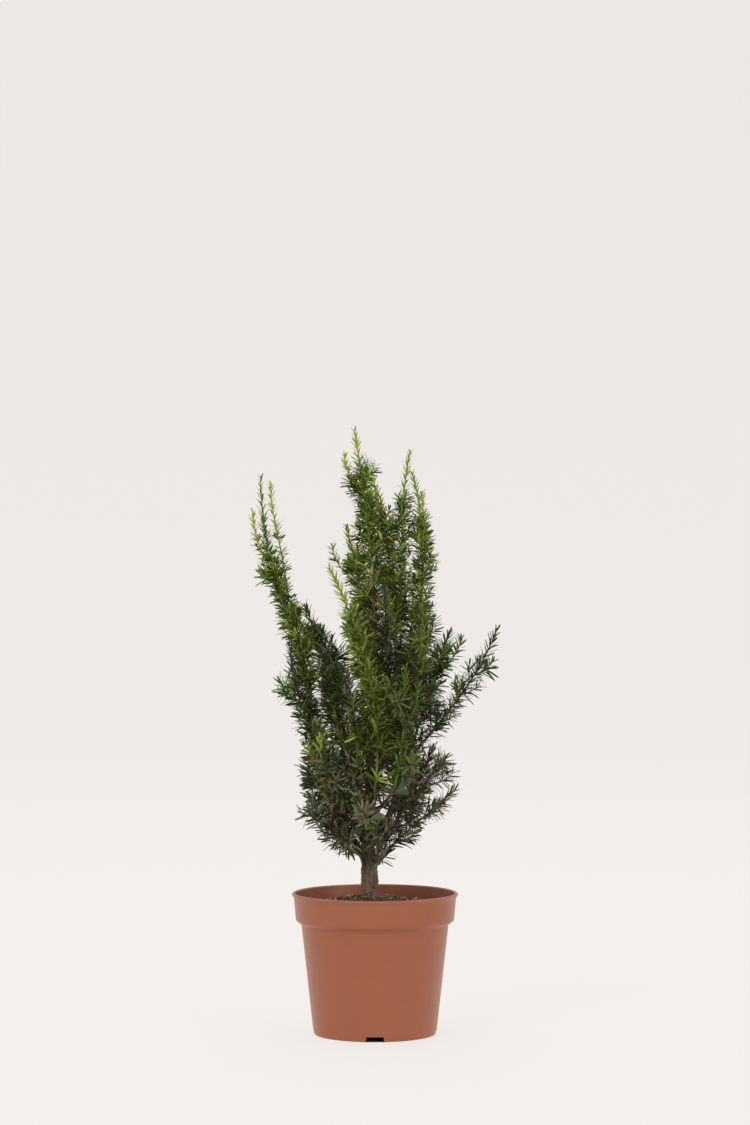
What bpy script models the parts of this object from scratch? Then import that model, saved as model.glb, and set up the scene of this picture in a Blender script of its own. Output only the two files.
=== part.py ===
"""A hybrid yew in its nursery pot: pot, compost, trunk, boughs and masses of needles.

Metres, +Z up. The origin is the centre of the pot's flat underside, +X is the plant's right
as it is pictured and -Y is its front. Numbers in millimetres carry MM.
"""

import math
import random
from collections import namedtuple

import bmesh
import bpy
import numpy as np
from mathutils import Matrix, Vector

MM = 0.001
GAP = 0.3 * MM  # kept between neighbouring solids

# The pot: a 17 cm container with a stepped band under its lip
POT_SIDES = 40
POT_HEIGHT = 144.5 * MM
LIP_RADIUS = 85.4 * MM
LIP_DROP = 1.8 * MM
BAND_TOP_RADIUS = 83.1 * MM
BAND_FOOT_RADIUS = 81.0 * MM
BAND_FOOT_HEIGHT = 116.4 * MM
BODY_TOP_RADIUS = 75.3 * MM
BODY_TOP_HEIGHT = 111.8 * MM
BODY_FOOT_RADIUS = 63.2 * MM
FOOT_ROUND = 2.6 * MM
FOOT_RING_WIDTH = 4.2 * MM
WALL = 1.5 * MM
FLOOR_RISE = 5.6 * MM  # underside of the floor over the ground
FLOOR_THICKNESS = 1.6 * MM
CENTRE_PAD_RADIUS = 13.0 * MM
NOTCHES = 4
NOTCH_WIDTH = 18.5 * MM
NOTCH_HEIGHT = 5.4 * MM
DRAIN_RADIUS = 5.0 * MM
DRAIN_CIRCLE = 40.0 * MM

# The compost: level near the wall, and a mound round the trunk
COMPOST_EDGE_HEIGHT = 124.0 * MM
COMPOST_HEIGHT = 136.7 * MM
MOUND_SEAT = 15.0 * MM
MOUND_RADIUS = 62.0 * MM
COMPOST_RELIEF = 1.2 * MM

# The trunk: (height, offset to the right, radius), all in millimetres
GROUND_HEIGHT = 137.0
TRUNK = (
    (GROUND_HEIGHT, -4.8, 11.6),
    (142.0, -4.8, 9.6),
    (150.0, -5.2, 8.8),
    (166.0, -5.8, 8.4),
    (180.0, -6.3, 7.4),
    (198.0, -6.6, 5.6),
    (240.0, -6.0, 4.6),
    (300.0, -4.0, 3.7),
    (360.0, -1.8, 2.9),
    (415.0, -0.8, 2.2),
    (470.0, -3.0, 1.7),
)
TRUNK_SIDES = 10
ROOT_LOBES = 5
ROOT_LOBE_SWELL = 0.16

LIMB_SIDES = 6
BOUGH_STEPS = 5
NECK = 4.0 * MM  # the straight end of a bough, square to the foot of its mass's stem
BOUGH_TAPER = 0.55  # a bough's tip radius over its root radius
STEM_STEPS = 12  # straight pieces of a stem, where the room that each mass has is worked out

# Sprays: a slim core with three rows of teeth, each tooth standing for a few needles
WINGS = 3
TOOTH_PITCH_SHARE = 0.71  # the step between two teeth of a row over a tooth's length
TOOTH_PITCH_LEAST = 10.2 * MM
TOOTH_LEAN = math.radians(58)  # between a tooth and its shoot
TOOTH_SIZES = (1.0, 0.8, 0.62, 0.45)  # the first that has room is used
GIRTH = 40 * MM  # how far a twig may stray from its mass's stem
CORE_RADIUS = 2.3 * MM
CORE_TIP_RADIUS = 0.6 * MM
CORE_HOLLOW = 0.6  # how far the core's radius drops between two rows of teeth
SHOOT_MARGIN = 0.4 * MM  # kept between the sprays of one mass, where there are no joints
MASS_MARGIN = 0.9 * MM  # kept between the sprays of two masses
GOLDEN_TURN = math.radians(137.5)

# One row is one mass of foliage with its bough. Heights, offsets and lengths are in millimetres.
#   leaves: what its bough leaves, where (a height on the trunk, or a share of a bough's length)
#           and how thick the bough is there (radius)
#   foot, knee, shoulder, tip: the mass's stem, from the bough's tip to its own top
#   fan: how many shoots rise beside the tip, how far from it, and on which side the first stands
#   twigs: how many shoots spread below the fan, how long, and on which side the first stands
#   teeth: the length of a tooth at the foot of a shoot and at its tip
Mass = namedtuple("Mass", "name leaves foot knee shoulder tip fan twigs teeth shade")
MASSES = (
    Mass("centre_leader", None, (-3, 0, 470.3), (-3, 0, 520), (-14, -4, 565),
         (-21, -3, 619), (1, 11, 200), (6, 26, 0), (17, 9), "fresh"),
    Mass("left_leader", ("trunk", 176, 4.4), (-66, -9, 339), (-66, -11, 400), (-116, -6, 455),
         (-117, -4, 571), (3, 10, 0), (4, 24, 150), (17, 9), "fresh"),
    Mass("right_leader", ("trunk", 190, 3.9), (42, -3, 400), (48, -4, 450), (54, -5, 520),
         (38, -6, 574), (1, 10, 0), (4, 26, 60), (16, 9), "fresh"),
    Mass("right_tall", ("right_leader", 0.62, 2.0), (27, 11, 410), (28, 9, 470), (24, 3, 540),
         (36, 2, 596), (0, 0, 0), (2, 24, 120), (13, 9), "fresh"),
    Mass("centre_right", ("trunk", 262, 2.7), (22, 12, 400), (20, 14, 450), (10, 15, 530),
         (-4, 13, 573), (2, 10, 350), (3, 30, 30), (16, 9), "fresh"),
    Mass("centre_front", ("trunk", 240, 2.4), (13, -13, 322), (18, -19, 360), (10, -20, 410),
         (10, -18, 462), (0, 0, 0), (3, 34, 20), (18, 12), "dark"),
    Mass("front_leader", ("trunk", 205, 3.0), (1, -33, 263), (8, -50, 345), (-18, -56, 420),
         (-46, -54, 477), (0, 0, 0), (4, 40, 200), (19, 11), "fresh"),
    Mass("back_left_leader", ("trunk", 276, 2.4), (-12, 22, 372), (-8, 28, 430), (-20, 31, 480),
         (-30, 30, 520), (1, 14, 180), (3, 36, 170), (18, 9), "fresh"),
    Mass("left_inner", ("trunk", 234, 2.8), (-40, 13, 322), (-48, 15, 360), (-58, 17, 400),
         (-72, 17, 437), (2, 14, 10), (2, 36, 90), (19, 12), "dark"),
    Mass("left_middle", ("left_leader", 0.26, 2.7), (-44, -17, 264), (-62, -24, 305),
         (-84, -22, 345), (-86, -18, 394), (1, 12, 20), (4, 30, 160), (19, 12), "dark"),
    Mass("left_bulge", ("trunk", 193, 2.3), (-26, -24, 232), (-36, -36, 250), (-56, -42, 268),
         (-56, -44, 306), (1, 11, 180), (2, 26, 200), (18, 12), "fresh"),
    Mass("left_low_front", ("trunk", 159, 2.6), (-19, -11, 187), (-36, -20, 200), (-54, -27, 214),
         (-66, -29, 243), (0, 0, 0), (3, 30, 300), (20, 14), "dark"),
    Mass("left_low_back", ("trunk", 187, 2.6), (-28, 13, 220), (-42, 20, 240), (-60, 24, 250),
         (-70, 25, 268), (0, 0, 0), (3, 36, 180), (20, 14), "dark"),
    Mass("front_stem", ("trunk", 182, 2.3), (-9, -19, 204), (-15, -32, 240), (-24, -40, 280),
         (-38, -44, 312), (0, 0, 0), (2, 28, 300), (16, 10), "fresh"),
    Mass("front_left", ("trunk", 229, 2.3), (-10, -24, 262), (-18, -38, 300), (-24, -46, 340),
         (-28, -50, 372), (0, 0, 0), (3, 30, 200), (18, 12), "dark"),
    Mass("front_middle", ("trunk", 217, 2.6), (20, -30, 256), (28, -46, 290), (31, -54, 330),
         (31, -56, 376), (1, 12, 0), (3, 36, 330), (19, 12), "dark"),
    Mass("front_low", ("trunk", 167, 2.3), (4, -21, 192), (2, -38, 210), (-8, -52, 226),
         (-19, -60, 248), (0, 0, 0), (3, 30, 0), (18, 12), "dark"),
    Mass("right_middle", ("right_leader", 0.34, 2.6), (42, 8, 306), (54, 9, 346), (66, 9, 380),
         (76, 8, 410), (1, 12, 0), (3, 36, 0), (19, 12), "dark"),
    Mass("right_front", ("right_leader", 0.46, 2.2), (35, -24, 326), (44, -31, 356),
         (50, -34, 388), (51, -34, 430), (0, 0, 0), (3, 34, 0), (18, 12), "dark"),
    Mass("right_arm", ("right_leader", 0.16, 2.7), (50, -15, 300), (80, -20, 335),
         (108, -24, 372), (124, -26, 414), (0, 0, 0), (3, 26, 100), (17, 12), "dark"),
    Mass("right_low_arm", ("trunk", 177, 2.5), (19, -10, 215), (34, -16, 240), (54, -20, 258),
         (70, -22, 280), (0, 0, 0), (3, 32, 90), (17, 12), "dark"),
    Mass("right_lowest_arm", ("trunk", 164, 2.3), (13, -5, 187), (34, -8, 212), (60, -10, 228),
         (83, -12, 252), (0, 0, 0), (3, 28, 30), (16, 12), "dark"),
    Mass("back_left", ("trunk", 224, 2.8), (-28, 36, 290), (-38, 48, 330), (-48, 54, 370),
         (-54, 54, 412), (1, 14, 60), (3, 38, 150), (21, 14), "dark"),
    Mass("back_right", ("trunk", 248, 2.8), (26, 34, 320), (38, 46, 356), (44, 52, 396),
         (46, 52, 440), (1, 14, 120), (3, 38, 30), (21, 14), "dark"),
    Mass("back_middle", ("trunk", 213, 2.6), (4, 38, 262), (6, 54, 300), (6, 62, 340),
         (2, 64, 384), (0, 0, 0), (4, 38, 60), (21, 14), "dark"),
    Mass("back_low_left", ("trunk", 170, 2.4), (-18, 26, 206), (-32, 44, 232), (-44, 56, 250),
         (-52, 62, 276), (0, 0, 0), (3, 34, 120), (20, 14), "dark"),
    Mass("back_low_right", ("trunk", 177, 2.4), (22, 23, 214), (38, 38, 240), (52, 48, 262),
         (60, 54, 290), (0, 0, 0), (3, 34, 60), (20, 14), "dark"),
)

COLOURS = {  # base colour, roughness
    "pot": ((0.42, 0.14, 0.065), 0.45),
    "compost": ((0.045, 0.03, 0.02), 0.95),
    "bark": ((0.16, 0.10, 0.075), 0.85),
    "fresh": ((0.10, 0.19, 0.03), 0.5),
    "dark": ((0.035, 0.07, 0.025), 0.5),
}

Limb = namedtuple("Limb", "points radii")


def clear_scene():
    """Removes every object that the file opened with."""
    for thing in list(bpy.data.objects):
        bpy.data.objects.remove(thing)


def material(name):
    """The Principled material of that name, made on first use."""
    found = bpy.data.materials.get(name)
    if found:
        return found
    made = bpy.data.materials.new(name)
    made.use_nodes = True
    shader = made.node_tree.nodes["Principled BSDF"]
    colour, roughness = COLOURS[name]
    shader.inputs["Base Color"].default_value = (*colour, 1)
    shader.inputs["Roughness"].default_value = roughness
    return made


def place(name, bm, finish, parent=None):
    """Turns a bmesh into an object in the scene, with its faces pointing out."""
    bmesh.ops.recalc_face_normals(bm, faces=bm.faces)
    mesh = bpy.data.meshes.new(name)
    bm.to_mesh(mesh)
    bm.free()
    mesh.materials.append(material(finish))
    made = bpy.data.objects.new(name, mesh)
    bpy.context.scene.collection.objects.link(made)
    made.parent = parent
    return made


def combine(target, others, operation):
    """Applies one Boolean of the target with a collection of the others, which then go."""
    group = bpy.data.collections.new("operands")
    bpy.context.scene.collection.children.link(group)
    for other in others:
        for holder in list(other.users_collection):
            holder.objects.unlink(other)
        group.objects.link(other)
    step = target.modifiers.new(operation.lower(), "BOOLEAN")
    step.operation = operation
    step.operand_type = "COLLECTION"
    step.collection = group
    step.solver = "MANIFOLD"
    graph = bpy.context.evaluated_depsgraph_get()
    joined = bpy.data.meshes.new_from_object(target.evaluated_get(graph))
    target.modifiers.clear()
    target.data = joined
    for other in others:
        bpy.data.objects.remove(other)
    bpy.data.collections.remove(group)
    return target


def turned(name, profile, finish, sides):
    """A solid of revolution about Z from a profile of (radius, height) that starts and ends on the axis."""
    bm = bmesh.new()
    ring = [bm.verts.new((radius, 0, height)) for radius, height in profile]
    edges = [bm.edges.new(pair) for pair in zip(ring, ring[1:])]
    bmesh.ops.spin(
        bm, geom=ring + edges, cent=(0, 0, 0), axis=(0, 0, 1),
        angle=math.tau, steps=sides, use_merge=True,
    )
    bmesh.ops.remove_doubles(bm, verts=bm.verts, dist=GAP / 10)
    return place(name, bm, finish)


def frames(points):
    """A matrix at each point whose Z runs along the path, without needless twist."""
    tangents = [
        (points[min(i + 1, len(points) - 1)] - points[max(i - 1, 0)]).normalized()
        for i in range(len(points))
    ]
    turn = Vector((0, 0, 1)).rotation_difference(tangents[0])
    made = []
    for point, before, tangent in zip(points, [tangents[0], *tangents], tangents):
        turn = before.rotation_difference(tangent) @ turn
        made.append(Matrix.Translation(point) @ turn.to_matrix().to_4x4())
    return made


def swept(name, limb, finish, sides, swell=None):
    """A limb's solid: rings along its path, bridged, with flat ends. swell scales a ring's points by angle."""
    bm = bmesh.new()
    before = None
    for index, (frame, radius) in enumerate(zip(frames(limb.points), limb.radii)):
        ring = bmesh.ops.create_circle(
            bm, cap_ends=False, segments=sides, radius=radius, matrix=frame
        )["verts"]
        if swell:
            for vert in ring:
                arm = vert.co - limb.points[index]
                vert.co += arm * swell(index, math.atan2(arm.y, arm.x))
        edges = list({edge for vert in ring for edge in vert.link_edges})
        if before:
            bmesh.ops.bridge_loops(bm, edges=before + edges)
        if index in (0, len(limb.points) - 1):
            bm.faces.new(ring)
        before = edges
    return place(name, bm, finish)


def curve(foot, knee, shoulder, tip, steps):
    """Points along the cubic Bezier curve of four control points."""
    made = []
    for index in range(steps + 1):
        t = index / steps
        s = 1 - t
        made.append(
            foot * s**3 + knee * 3 * s * s * t + shoulder * 3 * s * t * t + tip * t**3
        )
    return made


def grown(limb, by):
    """The same limb, thicker all round: used to cut its neighbours clear."""
    return Limb(limb.points, [radius + by for radius in limb.radii])


def lerp(a, b, t):
    return a + (b - a) * t


def trunk_limb():
    """The trunk's centreline and radii, from the flat cut at ground level to its tip."""
    points = [Vector((x * MM, 0, z * MM)) for z, x, _ in TRUNK]
    return Limb(points, [radius * MM for _, _, radius in TRUNK])


def trunk_point(height):
    """The point on the trunk's centreline at a height in millimetres."""
    for (low, left, _), (high, right, _) in zip(TRUNK, TRUNK[1:]):
        if low <= height <= high:
            share = (height - low) / (high - low)
            return Vector((lerp(left, right, share) * MM, 0, height * MM))
    raise ValueError("that height is off the trunk")


def root_flare(index, angle):
    """How far the trunk's lowest rings swell into root lobes."""
    fade = max(0.0, 1 - index / 2)
    return ROOT_LOBE_SWELL * fade * math.cos(ROOT_LOBES * angle)


def stem_corners(mass):
    return [Vector(corner) * MM for corner in (mass.foot, mass.knee, mass.shoulder, mass.tip)]


def shoot_limb(corners, foot_radius, teeth):
    """A shoot from its four control points, in one straight piece for each tooth of a row."""
    rough = curve(*corners, STEM_STEPS)
    length = sum((b - a).length for a, b in zip(rough, rough[1:]))
    pitch = max(TOOTH_PITCH_SHARE * sum(teeth) / 2 * MM, TOOTH_PITCH_LEAST)
    steps = max(3, round(length / pitch))
    radii = []
    for index in range(steps + 1):
        t = index / steps
        middle = lerp(CORE_RADIUS, CORE_TIP_RADIUS, t)
        radii.append(max(lerp(foot_radius, middle, min(1, 3 * t)), CORE_TIP_RADIUS))
    return Limb(curve(*corners, steps), radii)


def stem_limb(mass):
    """The stem of a mass, whose foot is as thick as the tip that it grows on from."""
    foot_radius = TRUNK[-1][2] * MM if mass.leaves is None else bough_tip_radius(mass)
    return shoot_limb(stem_corners(mass), foot_radius, mass.teeth)


def bough_tip_radius(mass):
    return mass.leaves[2] * BOUGH_TAPER * MM


def point_on(limb, share):
    """The point that share of the way along a limb, and the limb's direction there."""
    place_on = share * (len(limb.points) - 1)
    low = min(int(place_on), len(limb.points) - 2)
    a, b = limb.points[low], limb.points[low + 1]
    return a.lerp(b, place_on - low), (b - a).normalized()


def bough_limb(mass, stem, boughs):
    """The bough from its parent's centreline to just under its mass's stem, in line with it."""
    parent, where, radius = mass.leaves
    if parent == "trunk":
        root, up = trunk_point(where), Vector((0, 0, 1))
    else:
        root, up = point_on(boughs[parent], where)
    along = (stem.points[1] - stem.points[0]).normalized()
    end = stem.points[0] - along * GAP
    way = end - root
    outward = (way - up * way.dot(up)).normalized()
    start = (outward + up * 1.15).normalized()
    pull = way.length / 3
    neck = end - along * NECK
    points = curve(root, root + start * pull, neck - along * pull, neck, BOUGH_STEPS) + [end]
    radii = [
        lerp(radius * MM, bough_tip_radius(mass), index / (BOUGH_STEPS + 1))
        for index in range(BOUGH_STEPS + 2)
    ]
    return Limb(points, radii)


class Room:
    """Says which points are nearer one limb, or one mass, than any other, and clear of the rest."""

    def __init__(self, limbs, owners):
        self.owners = np.array(sorted(set(owners)))
        ends, radii, owner = [], [], []
        for limb, of_whom in zip(limbs, owners):
            ends += list(zip(limb.points, limb.points[1:]))
            radii += limb.radii[:-1]
            owner += [of_whom] * (len(limb.points) - 1)
        ends = np.array(ends, float)
        self.start, self.along = ends[:, 0], ends[:, 1] - ends[:, 0]
        self.square = (self.along**2).sum(1)
        self.radii, self.owner = np.array(radii), np.array(owner)

    def distances(self, point):
        """From a point to each straight piece of every limb's centreline."""
        offset = np.array(point, float) - self.start
        share = np.clip((offset * self.along).sum(1) / self.square, 0, 1)
        return np.linalg.norm(offset - self.along * share[:, None], axis=1)

    def lead(self, point, own):
        """How far nearer the point is to its own limb than to the next one, and its own distance."""
        away = self.distances(point)
        mine = self.owner == own
        return away[~mine].min() - away[mine].min(), away[mine].min()

    def clearance(self, point):
        """From a point to the nearest surface of a limb."""
        return (self.distances(point) - self.radii).min()


def side_shoots(mass, stem):
    """The side shoots of a mass by its seeded rule: twigs that spread, and a fan beside the tip."""
    chance = random.Random(mass.name)
    rows = frames(stem.points)
    top = len(rows) - 1
    made = []
    count, spread, side = mass.fan
    for number in range(count):
        side_on = math.radians(side) + number * GOLDEN_TURN + chance.uniform(-0.2, 0.2)
        out = Vector((math.cos(side_on), math.sin(side_on), 0))
        root = rows[round(top * lerp(0.5, 0.62, number / max(count - 1, 1)))].translation
        climb = (stem.points[-1] - root).length
        end = stem.points[-1] + out * spread * MM - Vector((0, 0, climb * chance.uniform(0.06, 0.4)))
        corners = (
            root,
            root + out * spread * 0.9 * MM + Vector((0, 0, climb * 0.2)),
            end - Vector((0, 0, climb * 0.3)),
            end,
        )
        made.append((shoot_limb(corners, 1.2 * MM, (mass.teeth[1], mass.teeth[1])), mass.teeth[1]))
    count, reach, side = mass.twigs
    for number in range(count):
        side_on = math.radians(side) + number * GOLDEN_TURN + chance.uniform(-0.3, 0.3)
        row = rows[max(1, round(top * lerp(0.1, 0.6, number / max(count - 1, 1))))]
        along = row.to_3x3() @ Vector((0, 0, 1))
        out = Vector((math.cos(side_on), math.sin(side_on), 0))
        out = (out - along * out.dot(along)).normalized()
        length = reach * MM * chance.uniform(0.85, 1.12)
        leave = (along + out * 1.1).normalized()
        rise = (along + Vector((0, 0, 0.8)) + out * 0.2).normalized()
        root = row.translation
        corners = (
            root,
            root + leave * length * 0.4,
            root + leave * length * 0.6 + rise * length * 0.1,
            root + leave * length * 0.62 + rise * length * 0.4,
        )
        made.append((shoot_limb(corners, 1.2 * MM, mass.teeth), mass.teeth[0]))
    return made


def tooth_tip(row, ahead, out, length, lean):
    """Where a tooth between two rows of its shoot ends, leaning on towards the shoot's tip."""
    base = row.translation.lerp(ahead.translation, 0.5)
    along = (ahead.translation - row.translation).normalized()
    out = (out - along * out.dot(along)).normalized()
    return base, base + (along * math.cos(lean) + out * math.sin(lean)) * length


def spray(shoot, longest, number, mass, owner, rooms):
    """One shoot as a closed solid: a slim star-shaped core whose three edges carry a row of teeth each."""
    near_shoots, near_masses, limbs = rooms
    chance = random.Random(f"{mass.name} {number}")
    rows = frames(shoot.points)
    spin = chance.uniform(0, math.tau)
    bm = bmesh.new()
    rings = []
    for row, radius in zip(rows, shoot.radii):
        ring = []
        for corner in range(2 * WINGS):
            size = radius * (CORE_HOLLOW if corner % 2 and rings else 1)
            angle = spin + math.pi * corner / WINGS
            ring.append(bm.verts.new(row @ Vector((math.cos(angle) * size, math.sin(angle) * size, 0))))
        rings.append(ring)
    bm.faces.new(rings[0])
    apex = bm.verts.new(shoot.points[-1] + (shoot.points[-1] - shoot.points[-2]) * 0.35)
    for corner in range(2 * WINGS):
        bm.faces.new((rings[-1][corner], rings[-1][(corner + 1) % (2 * WINGS)], apex))
    last = len(rows) - 2
    for index in range(last + 1):
        low, high = rings[index], rings[index + 1]
        for corner in range(0, 2 * WINGS, 2):
            before, after = (corner - 1) % (2 * WINGS), corner + 1
            tip = None
            if index:
                angle = spin + math.pi * corner / WINGS + chance.uniform(-0.25, 0.25)
                out = rows[index].to_3x3() @ Vector((math.cos(angle), math.sin(angle), 0))
                full = lerp(longest, mass.teeth[1], index / last) * (1 if index < last else 0.8)
                length = full * MM * chance.uniform(0.85, 1.1)
                lean = TOOTH_LEAN * (1 if index < last else 0.6)
                for size in TOOTH_SIZES:
                    base, end = tooth_tip(rows[index], rows[index + 1], out, length * size, lean)
                    if has_room(base, end, number, mass, owner, near_shoots, near_masses, limbs):
                        tip = bm.verts.new(end)
                        break
            for side in (before, after):
                flank = [low[corner], high[corner], high[side], low[side]]
                if side == after:
                    flank.reverse()
                if tip is None:
                    bm.faces.new(flank)
                    continue
                edge, outer = (low[corner], high[corner]), (low[side], high[side])
                bm.faces.new((outer[0], edge[0], tip))
                bm.faces.new((outer[0], tip, outer[1]))
                bm.faces.new((outer[1], tip, edge[1]))
    return place(f"{mass.name}_needles", bm, mass.shade)


def has_room(base, end, number, mass, owner, near_shoots, near_masses, limbs):
    """True if a tooth stays nearer its own shoot and its own mass than any other, clear of limbs."""
    for share in (0.45, 0.75, 1.0):
        point = base.lerp(end, share)
        lead, _ = near_masses.lead(point, owner)
        if lead < 2 * MASS_MARGIN or limbs.clearance(point) < MASS_MARGIN * (2 - share):
            return False
        lead, _ = near_shoots.lead(point, 1000 * owner + number)
        if lead < 2 * SHOOT_MARGIN:
            return False
    return True


def pot_profile():
    """The pot's section, from the underside of its centre pad round to the floor inside."""
    foot = BODY_FOOT_RADIUS
    ring_inner = foot - FOOT_ROUND - FOOT_RING_WIDTH
    lip_height = POT_HEIGHT - LIP_DROP
    inside_step = BODY_TOP_HEIGHT + WALL / 2
    floor_top = FLOOR_RISE + FLOOR_THICKNESS
    return [
        (0, 0),
        (CENTRE_PAD_RADIUS, 0),
        (CENTRE_PAD_RADIUS + 1.5 * MM, FLOOR_RISE),
        (ring_inner - 1.0 * MM, FLOOR_RISE),
        (ring_inner, 0),
        (foot - FOOT_ROUND, 0),
        (foot - FOOT_ROUND * 0.3, FOOT_ROUND * 0.3),
        (foot, FOOT_ROUND),
        (BODY_TOP_RADIUS, BODY_TOP_HEIGHT),
        (BAND_FOOT_RADIUS, BAND_FOOT_HEIGHT),
        (BAND_TOP_RADIUS, lip_height - 4.0 * MM),
        (LIP_RADIUS, lip_height - 0.6 * MM),
        (LIP_RADIUS - 0.2 * MM, lip_height + 0.4 * MM),
        (BAND_TOP_RADIUS, POT_HEIGHT),
        (BAND_TOP_RADIUS - WALL, POT_HEIGHT - 1.2 * MM),
        (BAND_FOOT_RADIUS - WALL, BAND_FOOT_HEIGHT + WALL / 2),
        (BODY_TOP_RADIUS - WALL, inside_step),
        (foot - WALL - 1.0 * MM, floor_top + 2.0 * MM),
        (foot - WALL - 3.0 * MM, floor_top),
        (0, floor_top),
    ]


def make_pot():
    """The pot, with notches through its foot ring and drain holes through its floor."""
    pot = turned("pot", pot_profile(), "pot", POT_SIDES)
    cutters = []
    for number in range(NOTCHES):
        spin = Matrix.Rotation(-math.pi / 2 + number * math.tau / NOTCHES, 4, "Z")
        bm = bmesh.new()
        bmesh.ops.create_cube(bm, size=1)
        for vert in bm.verts:
            narrow = 0.92 if vert.co.z > 0 else 1.08
            vert.co = Vector(
                (
                    BODY_FOOT_RADIUS + vert.co.x * 24 * MM,
                    vert.co.y * NOTCH_WIDTH * narrow,
                    NOTCH_HEIGHT if vert.co.z > 0 else -1 * MM,
                )
            )
        bmesh.ops.transform(bm, matrix=spin, verts=bm.verts)
        cutters.append(place("notch", bm, "pot"))
        bm = bmesh.new()
        bmesh.ops.create_cone(
            bm, cap_ends=True, segments=8, radius1=DRAIN_RADIUS, radius2=DRAIN_RADIUS,
            depth=6 * FLOOR_THICKNESS,
            matrix=spin @ Matrix.Translation((DRAIN_CIRCLE, 0, FLOOR_RISE)),
        )
        cutters.append(place("drain", bm, "pot"))
    return combine(pot, cutters, "DIFFERENCE")


def make_compost():
    """The compost that fills the pot, with a low mound and some relief on top."""
    floor = FLOOR_RISE + FLOOR_THICKNESS + GAP
    edge = BAND_FOOT_RADIUS - WALL - GAP
    edge_share = (COMPOST_EDGE_HEIGHT - BAND_FOOT_HEIGHT) / (POT_HEIGHT - LIP_DROP - BAND_FOOT_HEIGHT)
    edge_top = edge + (BAND_TOP_RADIUS - BAND_FOOT_RADIUS) * edge_share - 0.2 * MM
    profile = [
        (0, floor),
        (BODY_FOOT_RADIUS - WALL - 3.4 * MM, floor),
        (BODY_FOOT_RADIUS - WALL - 1.6 * MM, floor + 2.2 * MM),
        (BODY_TOP_RADIUS - WALL - 2 * GAP, BODY_TOP_HEIGHT + WALL / 2 + GAP),
        (edge - GAP, BAND_FOOT_HEIGHT + WALL / 2 + 2 * GAP),
        (edge_top, COMPOST_EDGE_HEIGHT),
        (MOUND_RADIUS, lerp(COMPOST_EDGE_HEIGHT, COMPOST_HEIGHT, 0.25)),
        (lerp(MOUND_SEAT, MOUND_RADIUS, 0.45), lerp(COMPOST_EDGE_HEIGHT, COMPOST_HEIGHT, 0.75)),
        (MOUND_SEAT, COMPOST_HEIGHT),
        (0, COMPOST_HEIGHT),
    ]
    compost = turned("compost", profile, "compost", POT_SIDES)
    chance = random.Random(7)
    trunk_foot = TRUNK[0][1] * MM
    for vert in compost.data.vertices:
        from_axis = math.hypot(vert.co.x, vert.co.y)
        if vert.co.z > COMPOST_EDGE_HEIGHT - GAP and from_axis < edge - GAP:
            if from_axis > MOUND_SEAT + GAP:
                vert.co.z += chance.uniform(-COMPOST_RELIEF, COMPOST_RELIEF)
            vert.co.x += trunk_foot * (1 - from_axis / edge)
    return compost


def grow_masses(stems, limbs):
    """Every mass: twigs that keep to its own space, then sprays on them, joined into one solid."""
    spaces = Room(stems, range(len(stems)))
    shoots, longest = [], []
    for owner, (mass, stem) in enumerate(zip(MASSES, stems)):
        shoots.append([stem])
        longest.append([mass.teeth[0]])
        for twig, length in side_shoots(mass, stem):
            tests = [spaces.lead(point, owner) for point in twig.points[1:]]
            inside = all(lead > 4 * MM and away < GIRTH for lead, away in tests)
            if inside and min(map(limbs.clearance, twig.points[1:])) > CORE_RADIUS + GAP:
                shoots[-1].append(twig)
                longest[-1].append(length)
    flat = [(owner, number, shoot) for owner, own in enumerate(shoots) for number, shoot in enumerate(own)]
    near_shoots = Room([shoot for _, _, shoot in flat], [1000 * owner + number for owner, number, _ in flat])
    near_masses = Room([shoot for _, _, shoot in flat], [owner for owner, _, _ in flat])
    for owner, mass in enumerate(MASSES):
        sprays = [
            spray(shoot, length, number, mass, owner, (near_shoots, near_masses, limbs))
            for number, (shoot, length) in enumerate(zip(shoots[owner], longest[owner]))
        ]
        if len(sprays) > 1:
            combine(sprays[0], sprays[1:], "UNION")


def main():
    clear_scene()
    make_pot()
    make_compost()
    trunk = trunk_limb()
    swept("trunk", trunk, "bark", TRUNK_SIDES, root_flare)
    stems = [stem_limb(mass) for mass in MASSES]
    boughs = {}
    for mass, stem in zip(MASSES, stems):
        if not mass.leaves:
            continue
        boughs[mass.name] = bough_limb(mass, stem, boughs)
        body = swept(f"{mass.name}_bough", boughs[mass.name], "bark", LIMB_SIDES)
        if mass.leaves[0] == "trunk":
            room_round = swept("room_round", grown(trunk, GAP), "bark", TRUNK_SIDES)
        else:
            room_round = swept("room_round", grown(boughs[mass.leaves[0]], GAP), "bark", LIMB_SIDES)
        combine(body, [room_round], "DIFFERENCE")
    grow_masses(stems, Room([trunk, *boughs.values()], [0] * (len(boughs) + 1)))


main()
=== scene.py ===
# %% [markdown]
# # A hybrid yew in its nursery pot
# The plant is drawn round a plain solid model that is loaded first. That model gives every place
# and size: here each solid is replaced by something finer that stands in the same spot.
# Lengths are in metres. The origin is the middle of the pot's underside, and -Y faces the camera.

# %% Load the solid model
import math
import random
from collections import namedtuple

import bmesh
import bpy
import numpy as np
from mathutils import Matrix, Vector


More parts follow.
